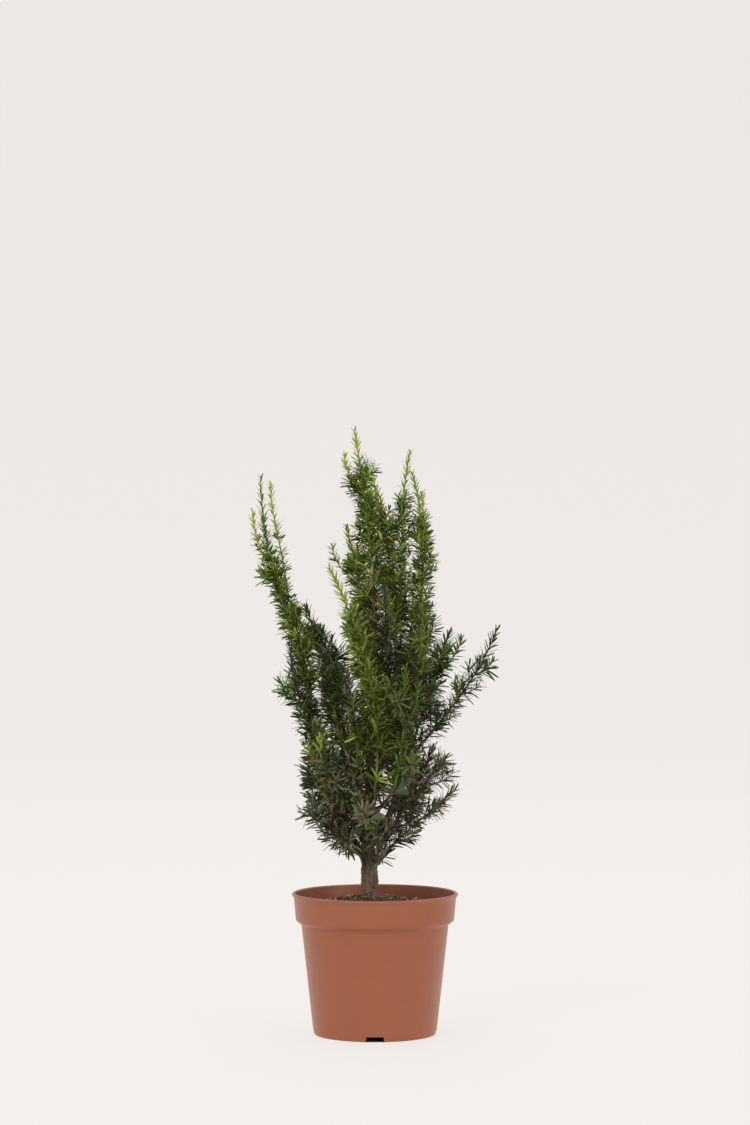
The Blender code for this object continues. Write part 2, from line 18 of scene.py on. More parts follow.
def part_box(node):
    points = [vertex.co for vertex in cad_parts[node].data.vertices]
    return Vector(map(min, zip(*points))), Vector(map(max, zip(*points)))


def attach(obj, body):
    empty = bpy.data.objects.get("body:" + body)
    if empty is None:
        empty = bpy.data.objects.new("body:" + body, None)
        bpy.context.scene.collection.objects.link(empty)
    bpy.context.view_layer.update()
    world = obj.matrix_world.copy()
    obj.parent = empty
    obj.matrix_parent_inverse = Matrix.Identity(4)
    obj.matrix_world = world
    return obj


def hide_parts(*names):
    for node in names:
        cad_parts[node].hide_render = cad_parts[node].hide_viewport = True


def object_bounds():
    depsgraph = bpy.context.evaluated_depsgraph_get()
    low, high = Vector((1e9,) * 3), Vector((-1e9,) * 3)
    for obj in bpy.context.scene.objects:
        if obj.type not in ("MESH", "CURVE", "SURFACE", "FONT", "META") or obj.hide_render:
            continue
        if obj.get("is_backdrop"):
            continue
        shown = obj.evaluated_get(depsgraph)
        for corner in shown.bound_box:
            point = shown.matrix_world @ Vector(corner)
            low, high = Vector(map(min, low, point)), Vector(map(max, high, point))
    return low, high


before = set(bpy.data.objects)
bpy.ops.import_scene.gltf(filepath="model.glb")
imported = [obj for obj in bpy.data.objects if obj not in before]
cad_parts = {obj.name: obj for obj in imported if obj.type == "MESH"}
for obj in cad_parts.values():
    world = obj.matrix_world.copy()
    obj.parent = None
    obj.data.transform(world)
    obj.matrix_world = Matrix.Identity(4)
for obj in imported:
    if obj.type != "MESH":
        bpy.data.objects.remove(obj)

MM = 0.001
cad_low, cad_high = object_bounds()
print("solids:", len(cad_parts), "box in mm:", [round(v / MM) for v in cad_high - cad_low])

# %% [markdown]
# ## Helpers for paths
# A limb is a list of points and a radius at each. Its frames are matrices whose Z runs along the
# limb. Each frame is turned from the one before it by the least angle, so a swept tube never twists.
# A Bezier curve gives a limb its bend from only four points.

# %% Limbs, curves and frames
Limb = namedtuple("Limb", "points radii")
GOLDEN_TURN = math.radians(137.5)


def lerp(a, b, t):
    return a + (b - a) * t


def curve(foot, knee, shoulder, tip, steps):
    """Points along a cubic Bezier curve with those four control points."""
    made = []
    for index in range(steps + 1):
        t = index / steps
        s = 1 - t
        made.append(foot * s**3 + knee * 3 * s * s * t + shoulder * 3 * s * t * t + tip * t**3)
    return made


def frames(points):
    """A matrix at each point, with its Z along the path and no twist from one to the next."""
    last = len(points) - 1
    tangents = [
        (points[min(i + 1, last)] - points[max(i - 1, 0)]).normalized() for i in range(last + 1)
    ]
    turn = Vector((0, 0, 1)).rotation_difference(tangents[0])
    made = []
    for point, before, tangent in zip(points, [tangents[0], *tangents], tangents):
        turn = before.rotation_difference(tangent) @ turn
        made.append(Matrix.Translation(point) @ turn.to_matrix().to_4x4())
    return made


def length_of(points):
    return sum((b - a).length for a, b in zip(points, points[1:]))


straight = curve(*(Vector((0, 0, z)) for z in (0, 1, 2, 3)), 8)
print("a straight test curve of length", length_of(straight), "with", len(frames(straight)), "frames")

# %% [markdown]
# ## Materials
# Two shader groups are shared. One mottles a colour with soft noise, as no real surface has one
# even colour. The other turns noise into a bump height. Both read a vector that each material
# gives them, so the pattern stays on the piece when it moves.

# %% A shader group that mottles a colour


def group_with(name, sockets):
    tree = bpy.data.node_groups.new(name, "ShaderNodeTree")
    for label, in_out, kind, default in sockets:
        made = tree.interface.new_socket(name=label, in_out=in_out, socket_type=kind)
        if default is not None:
            made.default_value = default
    return tree, tree.nodes.new("NodeGroupInput"), tree.nodes.new("NodeGroupOutput")


def mottle_group():
    tree, given, result = group_with("mottle", (
        ("Vector", "INPUT", "NodeSocketVector", None),
        ("Scale", "INPUT", "NodeSocketFloat", 60.0),
        ("Plain", "INPUT", "NodeSocketColor", None),
        ("Patch", "INPUT", "NodeSocketColor", None),
        ("Color", "OUTPUT", "NodeSocketColor", None),
    ))
    link = tree.links.new
    noise = tree.nodes.new("ShaderNodeTexNoise")
    noise.inputs["Detail"].default_value = 4
    spread = tree.nodes.new("ShaderNodeMapRange")
    spread.inputs["From Min"].default_value = 0.35
    spread.inputs["From Max"].default_value = 0.65
    mix = tree.nodes.new("ShaderNodeMix")
    mix.data_type = "RGBA"
    link(given.outputs["Vector"], noise.inputs["Vector"])
    link(given.outputs["Scale"], noise.inputs["Scale"])
    link(noise.outputs["Fac"], spread.inputs["Value"])
    link(spread.outputs["Result"], mix.inputs["Factor"])
    link(given.outputs["Plain"], mix.inputs["A"])
    link(given.outputs["Patch"], mix.inputs["B"])
    link(mix.outputs["Result"], result.inputs["Color"])
    return tree


MOTTLE = mottle_group()
print("mottle nodes:", len(MOTTLE.nodes))

# %% A shader group that gives a bump's height


def grain_group():
    tree, given, result = group_with("grain", (
        ("Vector", "INPUT", "NodeSocketVector", None),
        ("Scale", "INPUT", "NodeSocketFloat", 300.0),
        ("Height", "OUTPUT", "NodeSocketFloat", None),
    ))
    link = tree.links.new
    noise = tree.nodes.new("ShaderNodeTexNoise")
    noise.inputs["Detail"].default_value = 6
    link(given.outputs["Vector"], noise.inputs["Vector"])
    link(given.outputs["Scale"], noise.inputs["Scale"])
    link(noise.outputs["Fac"], result.inputs["Height"])
    return tree


GRAIN = grain_group()
print("grain nodes:", len(GRAIN.nodes))

# %% [markdown]
# One maker builds each mottled finish: two colours, the size of the mottle, a roughness, and the size
# and depth of the grain. Bark has its pattern stretched along the trunk.

# %% Finishes for the pot, compost and bark
BUMP_STRENGTH = 0.8


def finish(name, plain, patch, scale, roughness, grain, depth, stretch=(1, 1, 1)):
    """A Principled material, mottled between two colours, with a bump of that depth in metres."""
    made = bpy.data.materials.new(name)
    made.use_nodes = True
    tree = made.node_tree
    link = tree.links.new
    shader = tree.nodes["Principled BSDF"]
    shader.inputs["Roughness"].default_value = roughness
    places = tree.nodes.new("ShaderNodeTexCoord")
    mapping = tree.nodes.new("ShaderNodeMapping")
    mapping.inputs["Scale"].default_value = stretch
    mottle, bumps = tree.nodes.new("ShaderNodeGroup"), tree.nodes.new("ShaderNodeGroup")
    mottle.node_tree, bumps.node_tree = MOTTLE, GRAIN
    mottle.inputs["Scale"].default_value = scale
    mottle.inputs["Plain"].default_value = (*plain, 1)
    mottle.inputs["Patch"].default_value = (*patch, 1)
    bumps.inputs["Scale"].default_value = grain
    bump = tree.nodes.new("ShaderNodeBump")
    bump.inputs["Distance"].default_value = depth
    bump.inputs["Strength"].default_value = BUMP_STRENGTH
    link(places.outputs["Object"], mapping.inputs["Vector"])
    link(mapping.outputs["Vector"], mottle.inputs["Vector"])
    link(mapping.outputs["Vector"], bumps.inputs["Vector"])
    link(mottle.outputs["Color"], shader.inputs["Base Color"])
    link(bumps.outputs["Height"], bump.inputs["Height"])
    link(bump.outputs["Normal"], shader.inputs["Normal"])
    return made


# Each has its two colours, mottles in a metre, roughness, grains in a metre and the grain's depth.
PLASTIC = finish("pot_plastic", (0.325, 0.092, 0.036), (0.338, 0.099, 0.040), 30, 0.36, 900, 0.00004)
PEAT = finish("peat", (0.028, 0.016, 0.011), (0.085, 0.050, 0.032), 160, 0.95, 500, 0.0012)
BARK = finish("bark", (0.090, 0.043, 0.030), (0.245, 0.150, 0.108), 220, 0.85, 260, 0.0009, (1, 1, 0.25))
CHIPS = finish("chips", (0.19, 0.10, 0.065), (0.34, 0.21, 0.15), 180, 0.85, 320, 0.0005)
LITTER = finish("litter", (0.42, 0.25, 0.16), (0.20, 0.10, 0.06), 300, 0.8, 400, 0.0002)
print("materials:", len(bpy.data.materials))

# %% [markdown]
# ## Putting a piece in the scene
# The plant has no moving parts, so every piece rides on the one body. A piece that stands for solids
# names them, and they are then hidden.

# %% One call for each finished piece


def linked(name, data):
    made = bpy.data.objects.new(name, data)
    bpy.context.scene.collection.objects.link(made)
    return made


def place(name, mesh, material, replaced=()):
    """Puts a finished mesh in the scene, on the one body, standing for the solids it replaces."""
    mesh.materials.append(material)
    made = linked(name, mesh)
    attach(made, "root")
    if replaced:
        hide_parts(*replaced)
    return made


# %% [markdown]
# ## The pot
# A pot is a solid of revolution, so its section is spun once round the Z axis. The section carries
# the lip, the band under it, the step and the rounded foot. Many short points at a corner make the
# roll of moulded plastic that catches a line of light.

# %% The pot's section
POT_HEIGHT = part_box("pot")[1].z
LIP_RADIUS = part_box("pot")[1].x - 0.3 * MM
WALL = 1.5 * MM
FLOOR_RISE, FLOOR_THICKNESS = 5.6 * MM, 1.6 * MM
FOOT_RADIUS = 63.2 * MM
PAD_RADIUS = 13 * MM  # the pad in the middle of the underside
STEP_RADIUS, STEP_HEIGHT = 75.3 * MM, 111.8 * MM
BAND_RADIUS, BAND_HEIGHT = 81.0 * MM, 116.4 * MM
BAND_TOP_RADIUS = 83.1 * MM


def rolled(corner, before, after, size, steps=5):
    """Points that round off a corner of a section, from its neighbours on either side."""
    corner, before, after = (Vector((p[0], 0, p[1])) for p in (corner, before, after))
    start = corner + (before - corner).normalized() * size
    end = corner + (after - corner).normalized() * size
    made = []
    for index in range(steps + 1):
        t = index / steps
        point = start * (1 - t) ** 2 + corner * 2 * t * (1 - t) + end * t * t
        made.append((point.x, point.z))
    return made


def pot_section():
    """The section's points. Each corner has its radius and height, and how much of it is rolled in mm."""
    lip = POT_HEIGHT - 1.8 * MM
    foot_inside = FOOT_RADIUS - 6.8 * MM
    corners = (
        ((0, 0.2 * MM), 0), ((PAD_RADIUS, 0.2 * MM), 0.3), ((PAD_RADIUS + 1.5 * MM, FLOOR_RISE), 0.3),
        ((foot_inside - 1.0 * MM, FLOOR_RISE), 0.3), ((foot_inside, 0.05 * MM), 0.2),
        ((FOOT_RADIUS - 1.0 * MM, 0.05 * MM), 0.8), ((FOOT_RADIUS, 3.0 * MM), 1.6),
        ((STEP_RADIUS, STEP_HEIGHT), 1.0), ((BAND_RADIUS, BAND_HEIGHT), 1.2),
        ((BAND_TOP_RADIUS, lip - 3.6 * MM), 0.9), ((LIP_RADIUS, lip - 0.5 * MM), 0.4),
        ((LIP_RADIUS - 0.1 * MM, lip + 0.5 * MM), 0.4), ((BAND_TOP_RADIUS, POT_HEIGHT - 0.05 * MM), 0.6),
        ((BAND_TOP_RADIUS - WALL, POT_HEIGHT - 1.2 * MM), 0.5),
        ((BAND_RADIUS - WALL, BAND_HEIGHT + WALL / 2), 0.6),
        ((STEP_RADIUS - WALL, STEP_HEIGHT + WALL / 2), 0.6),
        ((FOOT_RADIUS - WALL - 3.0 * MM, FLOOR_RISE + FLOOR_THICKNESS), 1.5),
        ((0, FLOOR_RISE + FLOOR_THICKNESS), 0),
    )
    section = []
    for index, (corner, size) in enumerate(corners):
        if size:
            before, after = corners[index - 1][0], corners[index + 1][0]
            section += rolled(corner, before, after, size * MM)
        else:
            section.append(corner)
    return section


print("points in the section:", len(pot_section()))

# %% Spin the section
POT_SIDES = 120


def spun(section, sides):
    """A bmesh of the section spun once round the Z axis, with its seam and its middle closed."""
    bm = bmesh.new()
    ring = [bm.verts.new((radius, 0, height)) for radius, height in section]
    edges = [bm.edges.new(pair) for pair in zip(ring, ring[1:])]
    bmesh.ops.spin(
        bm, geom=ring + edges, cent=(0, 0, 0), axis=(0, 0, 1),
        angle=math.tau, steps=sides, use_merge=True,
    )
    bmesh.ops.remove_doubles(bm, verts=bm.verts, dist=0.01 * MM)
    bmesh.ops.recalc_face_normals(bm, faces=bm.faces)
    return bm


def mesh_of(bm, name, smooth_under=math.radians(40)):
    mesh = bpy.data.meshes.new(name)
    bm.to_mesh(mesh)
    bm.free()
    mesh.shade_smooth()
    mesh.set_sharp_from_angle(angle=smooth_under)
    return mesh


pot_mesh = mesh_of(spun(pot_section(), POT_SIDES), "pot_shell")
pot = place("pot_shell", pot_mesh, PLASTIC, ["pot"])
print("faces before cutting:", len(pot.data.polygons))

# %% [markdown]
# ## Notches and drain holes
# The foot has four notches that let water out, and the floor has four drain holes. One Boolean cuts
# them all. A notch is a cube whose top is a little narrower, as moulded plastic needs to leave its mould.

# %% Cut the notches and drain holes
NOTCHES, NOTCH_WIDTH, NOTCH_HEIGHT = 4, 18.5 * MM, 5.4 * MM
NOTCH_DEPTH, NOTCH_TAPER, NOTCH_START = 24 * MM, 0.08, -1 * MM
DRAIN_RADIUS, DRAIN_CIRCLE, DRAIN_SIDES = 5 * MM, 40 * MM, 24


def cutter(bm, name):
    bmesh.ops.recalc_face_normals(bm, faces=bm.faces)
    return linked(name, mesh_of(bm, name))


def cut(target, cutters):
    """Cuts every cutter from the target at once, then removes them."""
    group = bpy.data.collections.new("cutters")
    for other in cutters:
        group.objects.link(other)
    step = target.modifiers.new("cut", "BOOLEAN")
    step.operation, step.operand_type, step.collection = "DIFFERENCE", "COLLECTION", group
    step.solver = "EXACT"
    graph = bpy.context.evaluated_depsgraph_get()
    result = bpy.data.meshes.new_from_object(target.evaluated_get(graph))
    target.modifiers.clear()
    target.data = result
    for other in cutters:
        bpy.data.objects.remove(other)
    bpy.data.collections.remove(group)
    target.data.shade_smooth()
    target.data.set_sharp_from_angle(angle=math.radians(40))


cutters = []
for number in range(NOTCHES):
    spin = Matrix.Rotation(-math.pi / 2 + number * math.tau / NOTCHES, 4, "Z")
    bm = bmesh.new()
    bmesh.ops.create_cube(bm, size=1)
    for vert in bm.verts:
        upper = vert.co.z > 0
        width = NOTCH_WIDTH * (1 - NOTCH_TAPER if upper else 1 + NOTCH_TAPER)
        height = NOTCH_HEIGHT if upper else NOTCH_START
        vert.co = Vector((FOOT_RADIUS + vert.co.x * NOTCH_DEPTH, vert.co.y * width, height))
    bmesh.ops.transform(bm, matrix=spin, verts=bm.verts)
    cutters.append(cutter(bm, "notch"))
    bm = bmesh.new()
    bmesh.ops.create_cone(
        bm, cap_ends=True, segments=DRAIN_SIDES, radius1=DRAIN_RADIUS, radius2=DRAIN_RADIUS,
        depth=6 * FLOOR_THICKNESS, matrix=spin @ Matrix.Translation((DRAIN_CIRCLE, 0, FLOOR_RISE)),
    )
    cutters.append(cutter(bm, "drain"))
cut(pot, cutters)
print("pot faces:", len(pot.data.polygons))

# %% [markdown]
# ## The compost
# A disc is spun in fine rings, raised into a low mound and roughened with noise from `mathutils`, so
# its lumps are real relief. Its edge is extruded down inside the wall and closed below.

# %% The mound
from mathutils import noise as field

SOIL_EDGE, SOIL_TOP = 124 * MM, 140.2 * MM
SOIL_RADIUS = 80.4 * MM
SOIL_RINGS, SOIL_SIDES = 60, 160
SOIL_SIDE = ((0.97, 118 * MM), (0.885, 114 * MM), (0.87, 108 * MM))  # inside the step of the wall
FLAT_SHARE, MOUND_CURVE = 0.15, 1.2
LUMP_HEIGHT, LUMPS_A_METRE = 1.6 * MM, 140
TRUNK_LEFT = -4.8 * MM  # the trunk stands a little left of the pot's middle


def soil_height(x, y):
    """The compost's surface at a place: a mound with lumps that fade out under the trunk."""
    away = min(math.hypot(x - TRUNK_LEFT, y) / SOIL_RADIUS, 1)
    mound = lerp(SOIL_TOP, SOIL_EDGE, max(0, away - FLAT_SHARE) ** MOUND_CURVE)
    lumps = field.fractal(Vector((x, y, 0)) * LUMPS_A_METRE, 0.7, 2.1, 5) * LUMP_HEIGHT
    return mound + lumps * min(1, away * 3)


def make_soil():
    bm = spun([(SOIL_RADIUS * ring / SOIL_RINGS, 0) for ring in range(SOIL_RINGS + 1)], SOIL_SIDES)
    for vert in bm.verts:
        vert.co.z = soil_height(vert.co.x, vert.co.y)
    rim = [edge for edge in bm.edges if edge.is_boundary]
    inward = 1
    for share, height in SOIL_SIDE:
        made = bmesh.ops.extrude_edge_only(bm, edges=rim)["geom"]
        for vert in (part for part in made if isinstance(part, bmesh.types.BMVert)):
            vert.co = Vector((vert.co.x * share / inward, vert.co.y * share / inward, height))
        rim = [part for part in made if isinstance(part, bmesh.types.BMEdge) and part.is_boundary]
        inward = share
    bmesh.ops.contextual_create(bm, geom=rim)
    bmesh.ops.recalc_face_normals(bm, faces=bm.faces)
    return mesh_of(bm, "compost_mound", math.radians(60))


mound = place("compost_mound", make_soil(), PEAT, ["compost"])
print("mound faces:", len(mound.data.polygons))

# %% [markdown]
# ## Crumbs and litter
# Compost is never bare: it has crumbs, chips of bark and dry fallen needles on it. Each kind is one
# mesh of small rough balls, stretched to its own shape and strewn by chance, clear of the trunk.

# %% Strew them over the mound
TRUNK_CLEAR = 13 * MM
SUNK = 0.2  # the share of a piece's thickness by which its middle stands over the surface


def strewn(name, count, seed, sizes, shape, reach):
    """Small pieces of one shape dropped on the compost, each turned by chance."""
    chance = random.Random(seed)
    bm = bmesh.new()
    for _ in range(count):
        away, angle = reach * math.sqrt(chance.random()), chance.uniform(0, math.tau)
        x, y = away * math.cos(angle), away * math.sin(angle)
        if math.hypot(x - TRUNK_LEFT, y) < TRUNK_CLEAR:
            continue
        size = chance.uniform(*sizes) * MM
        turn = Matrix.Rotation(chance.uniform(0, math.tau), 4, "Z")
        turn = turn @ Matrix.Rotation(chance.uniform(-0.35, 0.35), 4, "Y")
        scale = Matrix.Diagonal((*(size * part for part in shape), 1))
        spot = Matrix.Translation((x, y, soil_height(x, y) + size * shape[2] * SUNK))
        made = bmesh.ops.create_icosphere(bm, subdivisions=1, radius=0.5, matrix=spot @ turn @ scale)
        for vert in made["verts"]:
            vert.co += Vector([chance.uniform(-0.12, 0.12) * size * min(1, part) for part in shape])
    return mesh_of(bm, name, math.radians(50))


for name, count, seed, sizes, shape, reach, material in (  # sizes in millimetres
    ("compost_crumbs", 900, 3, (1.2, 4.2), (1, 0.8, 0.6), 78 * MM, PEAT),
    ("bark_chips", 170, 4, (4, 10), (1, 0.45, 0.2), 76 * MM, CHIPS),
    ("dry_needles", 260, 5, (9, 18), (1, 0.1, 0.05), 74 * MM, LITTER),
):
    litter = place(name, strewn(name, count, seed, sizes, shape, reach), material)
    print(name, "faces:", len(litter.data.polygons))

# %% [markdown]
# ## The plant's plan
# One row of the table is one mass of foliage with its bough, the same as in the solid model. A row
# says what the bough leaves, where and how thick, and the four control points of the stem. Then come
# the fan and the twigs, each as a count, a reach and a first direction in degrees. The last two are
# the needles' lengths at foot and tip, and the shade. Lengths are in millimetres.

# %% Trunk and masses
TRUNK = (  # height, offset to the right and radius in millimetres
    (137, -4.8, 11.6), (142, -4.8, 9.6), (150, -5.2, 8.8), (166, -5.8, 8.4), (180, -6.3, 7.4),
    (198, -6.6, 5.6), (240, -6.0, 4.6), (300, -4.0, 3.7), (360, -1.8, 2.9), (415, -0.8, 2.2),
    (470, -3.0, 1.7),
)
Mass = namedtuple("Mass", "name leaves foot knee shoulder tip fan twigs teeth shade")
MASSES = (
    Mass("centre_leader", None, (-3, 0, 470.3), (-3, 0, 520), (-14, -4, 565),
         (-21, -3, 619), (1, 11, 200), (6, 26, 0), (17, 9), "fresh"),
    Mass("left_leader", ("trunk", 176, 4.4), (-66, -9, 339), (-66, -11, 400), (-116, -6, 455),
         (-117, -4, 571), (3, 10, 0), (4, 24, 150), (17, 9), "fresh"),
    Mass("right_leader", ("trunk", 190, 3.9), (42, -3, 400), (48, -4, 450), (54, -5, 520),
         (38, -6, 574), (1, 10, 0), (4, 26, 60), (16, 9), "fresh"),
    Mass("right_tall", ("right_leader", 0.62, 2.0), (27, 11, 410), (28, 9, 470), (24, 3, 540),
         (36, 2, 596), (0, 0, 0), (2, 24, 120), (13, 9), "fresh"),
    Mass("centre_right", ("trunk", 262, 2.7), (22, 12, 400), (20, 14, 450), (10, 15, 530),
         (-4, 13, 573), (2, 10, 350), (3, 30, 30), (16, 9), "fresh"),
    Mass("centre_front", ("trunk", 240, 2.4), (13, -13, 322), (18, -19, 360), (10, -20, 410),
         (10, -18, 462), (0, 0, 0), (3, 34, 20), (18, 12), "dark"),
    Mass("front_leader", ("trunk", 205, 3.0), (1, -33, 263), (8, -50, 345), (-18, -56, 420),
         (-46, -54, 477), (0, 0, 0), (4, 40, 200), (19, 11), "fresh"),
    Mass("back_left_leader", ("trunk", 276, 2.4), (-12, 22, 372), (-8, 28, 430), (-20, 31, 480),
         (-30, 30, 520), (1, 14, 180), (3, 36, 170), (18, 9), "fresh"),
    Mass("left_inner", ("trunk", 234, 2.8), (-40, 13, 322), (-48, 15, 360), (-58, 17, 400),
         (-72, 17, 437), (2, 14, 10), (2, 36, 90), (19, 12), "dark"),
    Mass("left_middle", ("left_leader", 0.26, 2.7), (-44, -17, 264), (-62, -24, 305),
         (-84, -22, 345), (-86, -18, 394), (1, 12, 20), (4, 30, 160), (19, 12), "dark"),
    Mass("left_bulge", ("trunk", 193, 2.3), (-26, -24, 232), (-36, -36, 250), (-56, -42, 268),
         (-56, -44, 306), (1, 11, 180), (2, 26, 200), (18, 12), "fresh"),
    Mass("left_low_front", ("trunk", 159, 2.6), (-19, -11, 187), (-36, -20, 200), (-54, -27, 214),
         (-66, -29, 243), (0, 0, 0), (3, 30, 300), (20, 14), "dark"),
    Mass("left_low_back", ("trunk", 187, 2.6), (-28, 13, 220), (-42, 20, 240), (-60, 24, 250),
         (-70, 25, 268), (0, 0, 0), (3, 36, 180), (20, 14), "dark"),
    Mass("front_stem", ("trunk", 182, 2.3), (-9, -19, 204), (-15, -32, 240), (-24, -40, 280),
         (-38, -44, 312), (0, 0, 0), (2, 28, 300), (16, 10), "fresh"),
    Mass("front_left", ("trunk", 229, 2.3), (-10, -24, 262), (-18, -38, 300), (-24, -46, 340),
         (-28, -50, 372), (0, 0, 0), (3, 30, 200), (18, 12), "dark"),
    Mass("front_middle", ("trunk", 217, 2.6), (20, -30, 256), (28, -46, 290), (31, -54, 330),
         (31, -56, 376), (1, 12, 0), (3, 36, 330), (19, 12), "dark"),
    Mass("front_low", ("trunk", 167, 2.3), (4, -21, 192), (2, -38, 210), (-8, -52, 226),
         (-19, -60, 248), (0, 0, 0), (3, 30, 0), (18, 12), "dark"),
    Mass("right_middle", ("right_leader", 0.34, 2.6), (42, 8, 306), (54, 9, 346), (66, 9, 380),
         (76, 8, 410), (1, 12, 0), (3, 36, 0), (19, 12), "dark"),
    Mass("right_front", ("right_leader", 0.46, 2.2), (35, -24, 326), (44, -31, 356),
         (50, -34, 388), (51, -34, 430), (0, 0, 0), (3, 34, 0), (18, 12), "dark"),
    Mass("right_arm", ("right_leader", 0.16, 2.7), (50, -15, 300), (80, -20, 335),
         (108, -24, 372), (124, -26, 414), (0, 0, 0), (3, 26, 100), (17, 12), "dark"),
    Mass("right_low_arm", ("trunk", 177, 2.5), (19, -10, 215), (34, -16, 240), (54, -20, 258),
         (70, -22, 280), (0, 0, 0), (3, 32, 90), (17, 12), "dark"),
    Mass("right_lowest_arm", ("trunk", 164, 2.3), (13, -5, 187), (34, -8, 212), (60, -10, 228),
         (83, -12, 252), (0, 0, 0), (3, 28, 30), (16, 12), "dark"),
    Mass("back_left", ("trunk", 224, 2.8), (-28, 36, 290), (-38, 48, 330), (-48, 54, 370),
         (-54, 54, 412), (1, 14, 60), (3, 38, 150), (21, 14), "dark"),
    Mass("back_right", ("trunk", 248, 2.8), (26, 34, 320), (38, 46, 356), (44, 52, 396),
         (46, 52, 440), (1, 14, 120), (3, 38, 30), (21, 14), "dark"),
    Mass("back_middle", ("trunk", 213, 2.6), (4, 38, 262), (6, 54, 300), (6, 62, 340),
         (2, 64, 384), (0, 0, 0), (4, 38, 60), (21, 14), "dark"),
    Mass("back_low_left", ("trunk", 170, 2.4), (-18, 26, 206), (-32, 44, 232), (-44, 56, 250),
         (-52, 62, 276), (0, 0, 0), (3, 34, 120), (20, 14), "dark"),
    Mass("back_low_right", ("trunk", 177, 2.4), (22, 23, 214), (38, 38, 240), (52, 48, 262),
         (60, 54, 290), (0, 0, 0), (3, 34, 60), (20, 14), "dark"),
)


def corners_of(mass):
    return [Vector(corner) * MM for corner in (mass.foot, mass.knee, mass.shoulder, mass.tip)]


def trunk_point(height):
    for (low, left, _), (high, right, _) in zip(TRUNK, TRUNK[1:]):
        if low <= height <= high:
            return Vector((lerp(left, right, (height - low) / (high - low)), 0, height)) * MM
    raise ValueError("that height is off the trunk")


trunk = Limb([Vector((x, 0, z)) * MM for z, x, _ in TRUNK], [radius * MM for _, _, radius in TRUNK])
print("masses:", len(MASSES), "trunk length in mm:", round(length_of(trunk.points) / MM))

# %% [markdown]
# ## Boughs
# A bough leaves the trunk, or a larger bough, at an angle and bends up until it meets the stem of its
# mass in line. So its curve is set by four points alone: where it starts, where it ends, and one point
# near each end that gives its direction there.

# %% The boughs' paths
BOUGH_TAPER = 0.55
BOUGH_STEPS = 14
BOUGH_RISE = 1.15  # how far a bough climbs as it leaves, for each step outwards


def bough_of(mass, boughs):
    """A bough from inside its parent to the foot of its mass, where it meets the stem in line."""
    parent, where, radius = mass.leaves
    if parent == "trunk":
        root, up = trunk_point(where), Vector((0, 0, 1))
    else:
        points = boughs[parent].points
        share = where * (len(points) - 1)
        low = min(int(share), len(points) - 2)
        root = points[low].lerp(points[low + 1], share - low)
        up = (points[low + 1] - points[low]).normalized()
    end, knee, *_ = corners_of(mass)
    way = end - root
    start = ((way - up * way.dot(up)).normalized() + up * BOUGH_RISE).normalized()
    pull = way.length / 3
    along = (knee - end).normalized()
    points = curve(root, root + start * pull, end - along * pull, end, BOUGH_STEPS)
    thick = [radius * MM * lerp(1, BOUGH_TAPER, i / BOUGH_STEPS) for i in range(BOUGH_STEPS + 1)]
    return Limb(points, thick)


boughs = {}
for mass in MASSES:
    if mass.leaves:
        boughs[mass.name] = bough_of(mass, boughs)
print("boughs:", len(boughs))

# %% [markdown]
# ## Bark
# The trunk and boughs are swept as one bark mesh. Each ring's points are pushed in and out by noise
# that is stretched along the limb, which gives the ridges and flakes of bark as true relief.

# %% Sweep the trunk and boughs
RELIEF = 0.13  # of a limb's radius
RIDGES_A_METRE, RIDGE_STRETCH = 420, 0.12
ROOT_LOBES, LOBE_DEPTH, FLARE_HEIGHT = 5, 0.16, 9 * MM


def smoother(limb, times):
    """The same limb with more points, on a curve through the old ones."""
    points, radii = [], []
    last = len(limb.points) - 1
    for i in range(last):
        a, b = limb.points[max(i - 1, 0)], limb.points[i]
        c, d = limb.points[i + 1], limb.points[min(i + 2, last)]
        for step in range(times):
            t = step / times
            points.append(0.5 * (2 * b + (c - a) * t + (2 * a - 5 * b + 4 * c - d) * t * t
                                 + (3 * b - a - 3 * c + d) * t**3))
            radii.append(lerp(limb.radii[i], limb.radii[i + 1], t))
    return Limb(points + [limb.points[-1]], radii + [limb.radii[-1]])


def sweep(bm, limb, sides, relief=0.0, lobes=0.0):
    """Adds a tube along a limb to the bmesh, closed at both ends."""
    rings = []
    for index, (frame_at, radius) in enumerate(zip(frames(limb.points), limb.radii)):
        ring = []
        for side in range(sides):
            angle = math.tau * side / sides
            arm = Vector((math.cos(angle), math.sin(angle), 0))
            size = radius
            if relief:
                spot = Vector((arm.x * radius, arm.y * radius, index * radius * RIDGE_STRETCH))
                spot *= RIDGES_A_METRE
                size *= 1 + relief * field.fractal(spot + limb.points[0] * 99, 0.8, 2.0, 4)
            if lobes:
                fade = max(0.0, 1 - (limb.points[index].z - limb.points[0].z) / FLARE_HEIGHT)
                size *= 1 + lobes * fade * math.cos(ROOT_LOBES * angle)
            ring.append(bm.verts.new(frame_at @ (arm * size)))
        rings.append(ring)
    for low, high in zip(rings, rings[1:]):
        for side in range(sides):
            after = (side + 1) % sides
            bm.faces.new((low[side], low[after], high[after], high[side]))
    bm.faces.new(list(reversed(rings[0])))
    bm.faces.new(rings[-1])


def bark_mesh():
    bm = bmesh.new()
    sweep(bm, smoother(trunk, 14), 36, RELIEF, LOBE_DEPTH)
    for bough in boughs.values():
        sweep(bm, smoother(bough, 4), 16, RELIEF)
    return mesh_of(bm, "bark", math.radians(70))


bark = place("bark", bark_mesh(), BARK, ["trunk", *(f"{name}_bough" for name in boughs)])
print("bark faces:", len(bark.data.polygons))

# %% [markdown]
# ## Shoots
# A mass grows by a seeded rule: a stem, a fan of shoots beside its tip, and twigs that spread below.
# The rule is the solid model's, with the same seeds, so each twig stands where its solid does.

